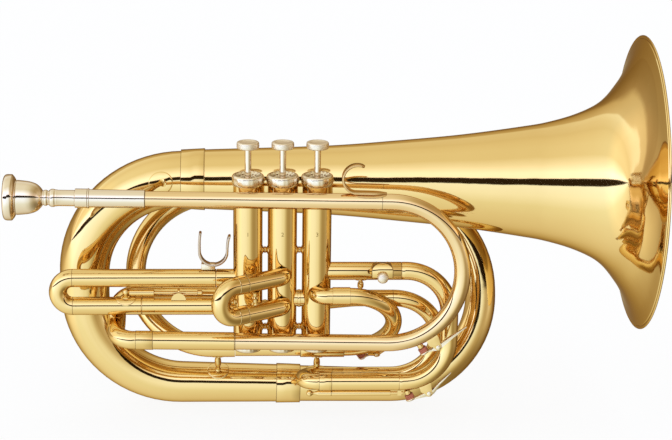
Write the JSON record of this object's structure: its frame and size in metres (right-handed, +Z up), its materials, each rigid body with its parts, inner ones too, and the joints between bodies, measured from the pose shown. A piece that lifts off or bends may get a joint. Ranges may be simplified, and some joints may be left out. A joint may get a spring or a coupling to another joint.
{
  "type": "marching baritone horn",
  "caption": "Bell-front valved brass horn: coiled conical tube, flared bell, sliding crooks, sprung valves, water keys and a removable mouthpiece.",
  "frame": {"origin": "the hand grip on the middle valve: on its axis, halfway up the casing", "axes": "+Z up along the valves, +X out of the bell, +Y to the player's left"},
  "size_m": [0.5442, 0.2554, 0.3314],
  "materials": {
    "lacquered_brass": "polished under clear lacquer",
    "gold_brass": "polished under clear lacquer",
    "silver_plate": "polished silver plate",
    "nickel_silver": "polished nickel silver",
    "piston_alloy": "lapped nickel alloy",
    "spring_steel": "drawn wire"
  },
  "bodies": {
    "horn": {"mouthpiece_receiver": "nickel_silver", "leadpipe": "gold_brass", "leadpipe_bow": "gold_brass", "tuning_slide_inlet": "lacquered_brass", "valve_casing_1": "lacquered_brass", "valve_casing_2": "lacquered_brass", "valve_casing_3": "lacquered_brass", "top_cap_1": "nickel_silver", "top_cap_2": "nickel_silver", "top_cap_3": "nickel_silver", "bottom_cap_1": "nickel_silver", "bottom_cap_2": "nickel_silver", "bottom_cap_3": "nickel_silver", "valve_spring_1": "spring_steel", "valve_spring_2": "spring_steel", "valve_spring_3": "spring_steel", "first_slide_upper_leg": "lacquered_brass", "first_slide_lower_sleeve": "lacquered_brass", "second_slide_sleeves": "lacquered_brass", "third_slide_upper_sleeve": "lacquered_brass", "third_slide_lower_sleeve": "lacquered_brass", "third_slide_rear_crook": "lacquered_brass", "third_slide_stop_sleeve": "lacquered_brass", "outlet_crook": "lacquered_brass", "outlet_leg": "lacquered_brass", "outlet_sleeve": "lacquered_brass", "rear_bow": "lacquered_brass", "upper_branch": "lacquered_brass", "front_bow": "lacquered_brass", "bottom_ferrule": "lacquered_brass", "tail_bow": "lacquered_brass", "bell_ferrule": "lacquered_brass", "bell": "lacquered_brass", "receiver_brace": "lacquered_brass", "bottom_brace_left": "lacquered_brass", "bottom_brace_right": "lacquered_brass", "finger_hook": "gold_brass", "lyre_holder": "lacquered_brass"},
    "mouthpiece_body": {"mouthpiece": "silver_plate"},
    "tuning_slide_body": {"main_tuning_slide": "lacquered_brass"},
    "valve_1": {"piston_1": "piston_alloy", "valve_stem_1": "nickel_silver", "finger_button_1": "nickel_silver"},
    "valve_2": {"piston_2": "piston_alloy", "valve_stem_2": "nickel_silver", "finger_button_2": "nickel_silver"},
    "valve_3": {"piston_3": "piston_alloy", "valve_stem_3": "nickel_silver", "finger_button_3": "nickel_silver"},
    "first_slide_body": {"first_slide": "lacquered_brass", "thumb_saddle": "nickel_silver", "first_slide_stop_rod": "lacquered_brass"},
    "second_slide_body": {"second_slide": "lacquered_brass", "second_slide_knob": "lacquered_brass"},
    "third_slide_body": {"third_slide": "lacquered_brass", "third_slide_stop_rod": "lacquered_brass"},
    "key_1_body": {"water_key_1": "nickel_silver"},
    "key_2_body": {"water_key_2": "nickel_silver"},
    "key_3_body": {"water_key_3": "nickel_silver"},
    "lyre_screw_body": {"lyre_screw": "nickel_silver"}
  },
  "joints": [
    {"name": "mouthpiece_pull", "type": "slide", "parent": "horn", "child": "mouthpiece_body", "axis": [-0.9999, 0, 0.0124], "range_m": [0, 0.02]},
    {"name": "tuning_slide_pull", "type": "slide", "parent": "horn", "child": "tuning_slide_body", "axis": [-0.9999, 0, 0.0147], "range_m": [0, 0.045]},
    {"name": "valve_1_press", "type": "slide", "parent": "horn", "child": "valve_1", "axis": [0, 0, -1], "range_m": [0, 0.017], "stiffness_N_per_m": 150, "springref_m": -0.022, "deforming": ["valve_spring_1"]},
    {"name": "valve_2_press", "type": "slide", "parent": "horn", "child": "valve_2", "axis": [0, 0, -1], "range_m": [0, 0.017], "stiffness_N_per_m": 150, "springref_m": -0.022, "deforming": ["valve_spring_2"]},
    {"name": "valve_3_press", "type": "slide", "parent": "horn", "child": "valve_3", "axis": [0, 0, -1], "range_m": [0, 0.017], "stiffness_N_per_m": 150, "springref_m": -0.022, "deforming": ["valve_spring_3"]},
    {"name": "first_slide_pull", "type": "slide", "parent": "horn", "child": "first_slide_body", "axis": [-1, 0, 0], "range_m": [0, 0.0145]},
    {"name": "second_slide_pull", "type": "slide", "parent": "horn", "child": "second_slide_body", "axis": [-0.848, -0.5299, 0], "range_m": [0, 0.018]},
    {"name": "third_slide_pull", "type": "slide", "parent": "horn", "child": "third_slide_body", "axis": [1, 0, 0], "range_m": [0, 0.045]},
    {"name": "water_key_1_open", "type": "hinge", "parent": "horn", "child": "key_1_body", "pos_m": [0.13236, -0.021, -0.06697], "axis": [0, -1, 0], "range_deg": [0, 18], "stiffness_Nm_per_rad": 0.03, "springref_deg": -28.65},
    {"name": "water_key_2_open", "type": "hinge", "parent": "third_slide_body", "child": "key_2_body", "pos_m": [0.12776, 0, -0.11744], "axis": [0, -1, 0], "range_deg": [0, 9], "stiffness_Nm_per_rad": 0.03, "springref_deg": -28.65},
    {"name": "water_key_3_open", "type": "hinge", "parent": "horn", "child": "key_3_body", "pos_m": [0.08382, 0.03132, -0.09137], "axis": [0, -0.809, -0.5879], "range_deg": [0, 12], "stiffness_Nm_per_rad": 0.03, "springref_deg": -28.65},
    {"name": "lyre_screw_turn", "type": "hinge", "parent": "horn", "child": "lyre_screw_body", "pos_m": [0.08425, -0.02, -0.0065], "axis": [0, -1, 0], "range_deg": [-180, 180]}
  ]
}
